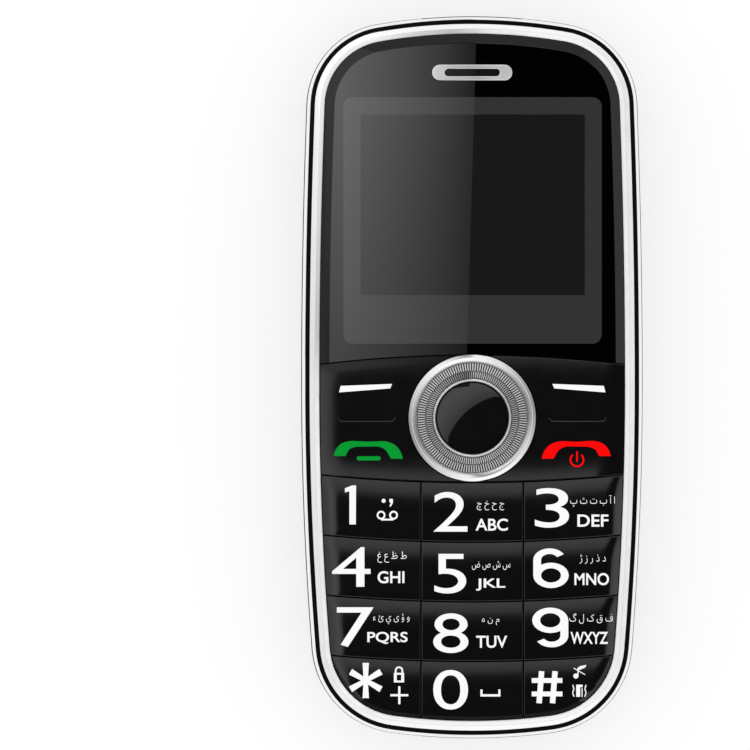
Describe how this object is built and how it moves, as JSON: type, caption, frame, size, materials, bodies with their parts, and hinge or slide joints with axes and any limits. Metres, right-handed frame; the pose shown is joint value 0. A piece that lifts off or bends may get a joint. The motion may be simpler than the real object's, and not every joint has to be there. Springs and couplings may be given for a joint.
{
  "type": "feature phone",
  "caption": "Slim bar phone with a bright rim, small screen, round control ring, large number keys and a lift-off rear shell.",
  "frame": {"origin": "on the flat back, under the middle of the outline's box", "axes": "+X to the right as the screen is read, +Y toward the earpiece end, +Z out of the screen"},
  "size_m": [0.0536, 0.1134, 0.0161],
  "materials": {
    "side_chrome": "polished plating",
    "face_chrome": "polished plating",
    "housing_black": "fine matt",
    "lens": "polished, printed black on the back",
    "mesh_black": "woven",
    "screen_tray": "dark grey",
    "screen_glass": "dark, unlit",
    "light_unit": "white",
    "flex": "copper polyimide",
    "carrier_plastic": "moulded",
    "ring_metal": "turned bright",
    "knurl_metal": "finely toothed",
    "key_gloss": "high gloss",
    "key_black": "satin gloss, printed",
    "mat_rubber": "silicone",
    "dome_metal": "snap domes on film",
    "board_green": "solder mask",
    "shield_metal": "tin plated",
    "speaker_black": "moulded",
    "socket_black": "moulded",
    "socket_metal": "folded steel",
    "battery_label": "plain wrap",
    "contact_block": "moulded, gilt blades",
    "motor_steel": "drawn can",
    "weight_steel": "sintered heavy metal",
    "antenna_plastic": "moulded carrier",
    "lamp_body": "white lamp",
    "lamp_lens": "clear",
    "cap_black": "satin",
    "screw_steel": "blackened",
    "cover_black": "soft sheen",
    "grip_black": "perforated"
  },
  "bodies": {
    "cover": {"rear_cover": "cover_black", "grip_band_left": "grip_black", "grip_band_right": "grip_black"},
    "phone": {"chrome_side_frame": "side_chrome", "front_trim_ring": "face_chrome", "front_housing": "housing_black", "display_lens": "lens", "earpiece_trim": "face_chrome", "earpiece_mesh": "mesh_black", "lcd_frame": "screen_tray", "lcd_panel": "screen_glass", "lcd_backlight": "light_unit", "lcd_holder": "housing_black", "lcd_flex": "flex", "keypad_mat": "mat_rubber", "dome_sheet": "dome_metal", "main_board": "board_green", "shield_can": "shield_metal", "earpiece_receiver": "speaker_black", "microphone": "speaker_black", "mid_housing": "housing_black", "headphone_jack": "socket_black", "usb_socket": "socket_metal", "battery": "battery_label", "battery_contacts": "contact_block", "sim_sockets": "shield_metal", "memory_card_socket": "shield_metal", "loudspeaker": "speaker_black", "vibration_motor": "motor_steel", "antenna": "antenna_plastic", "torch_led": "lamp_body", "torch_lens": "lamp_lens", "torch_cap": "cap_black", "housing_screws": "screw_steel"},
    "nav_carrier": {"nav_carrier": "carrier_plastic"},
    "nav_ring": {"nav_ring": "ring_metal", "nav_knurl_ring": "knurl_metal", "nav_inner_ring": "ring_metal"},
    "center_key": {"center_key": "key_gloss"},
    "left_function_key": {"left_function_key": "key_black"},
    "right_function_key": {"right_function_key": "key_black"},
    "motor_weight": {"vibration_weight": "weight_steel"},
    "key_1": {"key_1": "key_black"},
    "key_2": {"key_2": "key_black"},
    "key_3": {"key_3": "key_black"},
    "key_4": {"key_4": "key_black"},
    "key_5": {"key_5": "key_black"},
    "key_6": {"key_6": "key_black"},
    "key_7": {"key_7": "key_black"},
    "key_8": {"key_8": "key_black"},
    "key_9": {"key_9": "key_black"},
    "key_star": {"key_star": "key_black"},
    "key_0": {"key_0": "key_black"},
    "key_hash": {"key_hash": "key_black"}
  },
  "joints": [
    {"name": "cover_lift", "type": "slide", "parent": "cover", "child": "phone", "axis": [0, 0, 1], "range_m": [0, 0.012]},
    {"name": "ring_up_down", "type": "hinge", "parent": "phone", "child": "nav_carrier", "pos_m": [0, -0.0064, 0.0146], "axis": [1, 0, 0], "range_deg": [-2, 2], "stiffness_Nm_per_rad": 0.1},
    {"name": "ring_left_right", "type": "hinge", "parent": "nav_carrier", "child": "nav_ring", "pos_m": [0, -0.0064, 0.0146], "axis": [0, 1, 0], "range_deg": [-2, 2], "stiffness_Nm_per_rad": 0.1},
    {"name": "center_key_press", "type": "slide", "parent": "phone", "child": "center_key", "axis": [0, 0, -1], "range_m": [0, 0.00035], "stiffness_N_per_m": 250},
    {"name": "left_function_rock", "type": "hinge", "parent": "phone", "child": "left_function_key", "pos_m": [-0.0165, -0.0064, 0.0146], "axis": [1, 0, 0], "range_deg": [-2, 2], "stiffness_Nm_per_rad": 0.1},
    {"name": "right_function_rock", "type": "hinge", "parent": "phone", "child": "right_function_key", "pos_m": [0.0165, -0.0064, 0.0146], "axis": [1, 0, 0], "range_deg": [-2, 2], "stiffness_Nm_per_rad": 0.1},
    {"name": "motor_weight_turn", "type": "hinge", "parent": "phone", "child": "motor_weight", "pos_m": [-0.0052, 0.0472, 0.0052], "axis": [1, 0, 0], "continuous": true},
    {"name": "key_1_press", "type": "slide", "parent": "phone", "child": "key_1", "axis": [0, 0, -1], "range_m": [0, 0.0004], "stiffness_N_per_m": 250},
    {"name": "key_2_press", "type": "slide", "parent": "phone", "child": "key_2", "axis": [0, 0, -1], "range_m": [0, 0.0004], "stiffness_N_per_m": 250},
    {"name": "key_3_press", "type": "slide", "parent": "phone", "child": "key_3", "axis": [0, 0, -1], "range_m": [0, 0.0004], "stiffness_N_per_m": 250},
    {"name": "key_4_press", "type": "slide", "parent": "phone", "child": "key_4", "axis": [0, 0, -1], "range_m": [0, 0.0004], "stiffness_N_per_m": 250},
    {"name": "key_5_press", "type": "slide", "parent": "phone", "child": "key_5", "axis": [0, 0, -1], "range_m": [0, 0.0004], "stiffness_N_per_m": 250},
    {"name": "key_6_press", "type": "slide", "parent": "phone", "child": "key_6", "axis": [0, 0, -1], "range_m": [0, 0.0004], "stiffness_N_per_m": 250},
    {"name": "key_7_press", "type": "slide", "parent": "phone", "child": "key_7", "axis": [0, 0, -1], "range_m": [0, 0.0004], "stiffness_N_per_m": 250},
    {"name": "key_8_press", "type": "slide", "parent": "phone", "child": "key_8", "axis": [0, 0, -1], "range_m": [0, 0.0004], "stiffness_N_per_m": 250},
    {"name": "key_9_press", "type": "slide", "parent": "phone", "child": "key_9", "axis": [0, 0, -1], "range_m": [0, 0.0004], "stiffness_N_per_m": 250},
    {"name": "key_star_press", "type": "slide", "parent": "phone", "child": "key_star", "axis": [0, 0, -1], "range_m": [0, 0.0004], "stiffness_N_per_m": 250},
    {"name": "key_0_press", "type": "slide", "parent": "phone", "child": "key_0", "axis": [0, 0, -1], "range_m": [0, 0.0004], "stiffness_N_per_m": 250},
    {"name": "key_hash_press", "type": "slide", "parent": "phone", "child": "key_hash", "axis": [0, 0, -1], "range_m": [0, 0.0004], "stiffness_N_per_m": 250}
  ]
}
